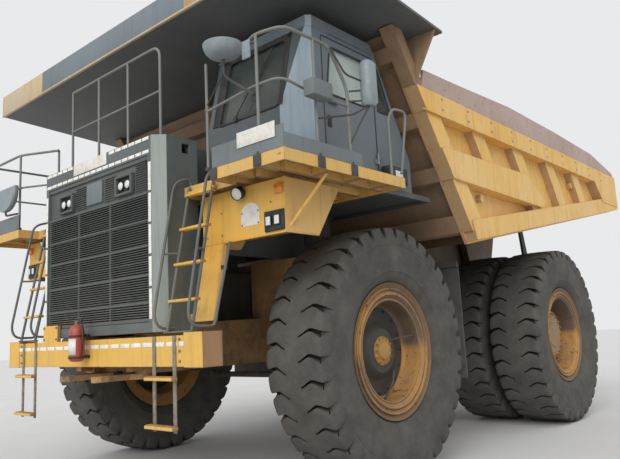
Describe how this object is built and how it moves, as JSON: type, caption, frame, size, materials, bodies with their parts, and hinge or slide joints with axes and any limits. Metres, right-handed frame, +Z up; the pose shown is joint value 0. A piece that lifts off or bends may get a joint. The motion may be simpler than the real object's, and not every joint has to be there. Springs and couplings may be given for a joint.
{
  "type": "rigid mining dump truck",
  "caption": "Rigid mining dump truck with a canopied tipping body, twin rear tyres, a side cab on a railed deck and ladders beside a tall radiator.",
  "frame": {"origin": "centre of the bounding box in X and Y, at ground level under the tyres", "axes": "the truck faces -Y, +X is its left side, +Z is up"},
  "size_m": [6.13, 9.9099, 5.29],
  "materials": {
    "main_frame": "worn yellow paint with brown dust",
    "front_bumper": "yellow paint, scratched",
    "suspension": "dark greasy paint",
    "rear_axle": "yellow paint under dust",
    "engine": null,
    "radiator_shell": "slate grey paint",
    "grille": "dark slate slats",
    "hood": "dark slate paint",
    "decks": "yellow edges, rusty underside",
    "rear_decks": "dark slate paint",
    "toe_boards": "slate grey paint",
    "fenders": "yellow paint, sun-faded",
    "ladders": "grey tube, worn",
    "hanging_steps": "grey straps, yellow treads",
    "hood_rail": "grey tube, worn",
    "left_rail": "grey tube, worn",
    "grab_rail": "grey tube, worn",
    "right_rail": "grey tube, worn",
    "cab_floor": "slate grey paint",
    "cab_front": "slate grey paint",
    "cab_rear": "slate grey paint",
    "cab_side_left": "slate grey paint",
    "cab_side_right": "slate grey paint",
    "cab_roof": "slate grey paint",
    "cab_glass": "tinted, dusty",
    "seat": "dark cloth",
    "steering_wheel": "moulded rim",
    "mirrors": "grey shells and stays",
    "lamps": "clear lenses in dark boxes",
    "tanks": "dark paint, dusty",
    "mud_flaps": "dusty rubber sheet",
    "extinguisher": "red enamel, bare label place",
    "air_cleaners": "dark paint",
    "knuckle_left": "greasy casting",
    "knuckle_right": "greasy casting",
    "tie_rod": "greasy dark paint",
    "front_left_rim": "rusty yellow paint",
    "front_left_tyre": "dusty black rubber",
    "front_right_rim": "rusty yellow paint",
    "front_right_tyre": "dusty black rubber",
    "rear_left_rims": "rusty yellow paint",
    "rear_left_tyres": "dusty black rubber",
    "rear_right_rims": "rusty yellow paint",
    "rear_right_tyres": "dusty black rubber",
    "body_floor": "yellow outside, bare worn steel inside",
    "body_beams": "yellow paint under dust",
    "body_side_left": "yellow paint, rust at the edges",
    "body_side_right": "yellow paint, rust at the edges",
    "body_front_wall": "brown-yellow paint and dust",
    "canopy": "slate underside, tan fascia ends",
    "side_boards": "bare rusty steel",
    "hoist_barrels": "yellow paint, oily",
    "hoist_stages": "ground steel",
    "hoist_rods": "ground steel",
    "cab_door": "slate grey paint",
    "door_glass": "clear, dusty"
  },
  "bodies": {
    "chassis": {"main_frame": "main_frame", "front_bumper": "front_bumper", "suspension": "suspension", "rear_axle": "rear_axle", "engine": "engine", "radiator_shell": "radiator_shell", "grille": "grille", "hood": "hood", "decks": "decks", "rear_decks": "rear_decks", "toe_boards": "toe_boards", "fenders": "fenders", "ladders": "ladders", "hanging_steps": "hanging_steps", "hood_rail": "hood_rail", "left_rail": "left_rail", "grab_rail": "grab_rail", "right_rail": "right_rail", "cab_floor": "cab_floor", "cab_front": "cab_front", "cab_rear": "cab_rear", "cab_side_left": "cab_side_left", "cab_side_right": "cab_side_right", "cab_roof": "cab_roof", "cab_glass": "cab_glass", "seat": "seat", "steering_wheel": "steering_wheel", "mirrors": "mirrors", "lamps": "lamps", "tanks": "tanks", "mud_flaps": "mud_flaps", "extinguisher": "extinguisher", "air_cleaners": "air_cleaners"},
    "knuckle_l": {"knuckle_left": "knuckle_left"},
    "knuckle_r": {"knuckle_right": "knuckle_right"},
    "tie": {"tie_rod": "tie_rod"},
    "wheel_fl": {"front_left_rim": "front_left_rim", "front_left_tyre": "front_left_tyre"},
    "wheel_fr": {"front_right_rim": "front_right_rim", "front_right_tyre": "front_right_tyre"},
    "wheels_rl": {"rear_left_rims": "rear_left_rims", "rear_left_tyres": "rear_left_tyres"},
    "wheels_rr": {"rear_right_rims": "rear_right_rims", "rear_right_tyres": "rear_right_tyres"},
    "dump_body": {"body_floor": "body_floor", "body_beams": "body_beams", "body_side_left": "body_side_left", "body_side_right": "body_side_right", "body_front_wall": "body_front_wall", "canopy": "canopy", "side_boards": "side_boards"},
    "barrels": {"hoist_barrels": "hoist_barrels"},
    "stages": {"hoist_stages": "hoist_stages"},
    "rods": {"hoist_rods": "hoist_rods"},
    "door": {"cab_door": "cab_door", "door_glass": "door_glass"}
  },
  "joints": [
    {"name": "steer_left", "type": "hinge", "parent": "chassis", "child": "knuckle_l", "pos_m": [1.35, -2.505, 1.345], "axis": [0, 0, 1], "range_deg": [-30, 30]},
    {"name": "steer_right", "type": "hinge", "parent": "chassis", "child": "knuckle_r", "pos_m": [-1.35, -2.505, 1.345], "axis": [0, 0, 1], "range_deg": [-30, 30]},
    {"name": "tie_rod_end", "type": "hinge", "parent": "knuckle_l", "child": "tie", "pos_m": [1.35, -1.945, 1.03], "axis": [0, 0, 1], "range_deg": [-30, 30]},
    {"name": "spin_front_left", "type": "hinge", "parent": "knuckle_l", "child": "wheel_fl", "pos_m": [2.085, -2.505, 1.345], "axis": [1, 0, 0], "continuous": true},
    {"name": "spin_front_right", "type": "hinge", "parent": "knuckle_r", "child": "wheel_fr", "pos_m": [-2.085, -2.505, 1.345], "axis": [1, 0, 0], "continuous": true},
    {"name": "spin_rear_left", "type": "hinge", "parent": "chassis", "child": "wheels_rl", "pos_m": [1.82, 2.055, 1.345], "axis": [1, 0, 0], "continuous": true},
    {"name": "spin_rear_right", "type": "hinge", "parent": "chassis", "child": "wheels_rr", "pos_m": [-1.82, 2.055, 1.345], "axis": [1, 0, 0], "continuous": true},
    {"name": "body_raise", "type": "hinge", "parent": "chassis", "child": "dump_body", "pos_m": [0, 2.955, 1.9], "axis": [-1, 0, 0], "range_deg": [0, 50]},
    {"name": "hoist_swing", "type": "hinge", "parent": "chassis", "child": "barrels", "pos_m": [0.82, 0.495, 1.18], "axis": [1, 0, 0], "range_deg": [-37, 1]},
    {"name": "hoist_stage_out", "type": "slide", "parent": "barrels", "child": "stages", "axis": [0, -0.31, 0.9507], "range_m": [0, 1.058]},
    {"name": "hoist_rod_out", "type": "slide", "parent": "stages", "child": "rods", "axis": [0, -0.31, 0.9507], "range_m": [0, 1.058]},
    {"name": "door_swing", "type": "hinge", "parent": "chassis", "child": "door", "pos_m": [2.494, -2.755, 3.9], "axis": [0, 0, 1], "range_deg": [0, 48]}
  ],
  "couplings": [
    {"joint": "steer_right", "follows": "steer_left", "ratio": 1},
    {"joint": "tie_rod_end", "follows": "steer_left", "ratio": -1},
    {"joint": "hoist_swing", "follows": "body_raise", "ratio": -0.7209},
    {"joint": "hoist_stage_out", "follows": "body_raise", "m_per_rad": 1.2005},
    {"joint": "hoist_rod_out", "follows": "body_raise", "m_per_rad": 1.2005}
  ]
}
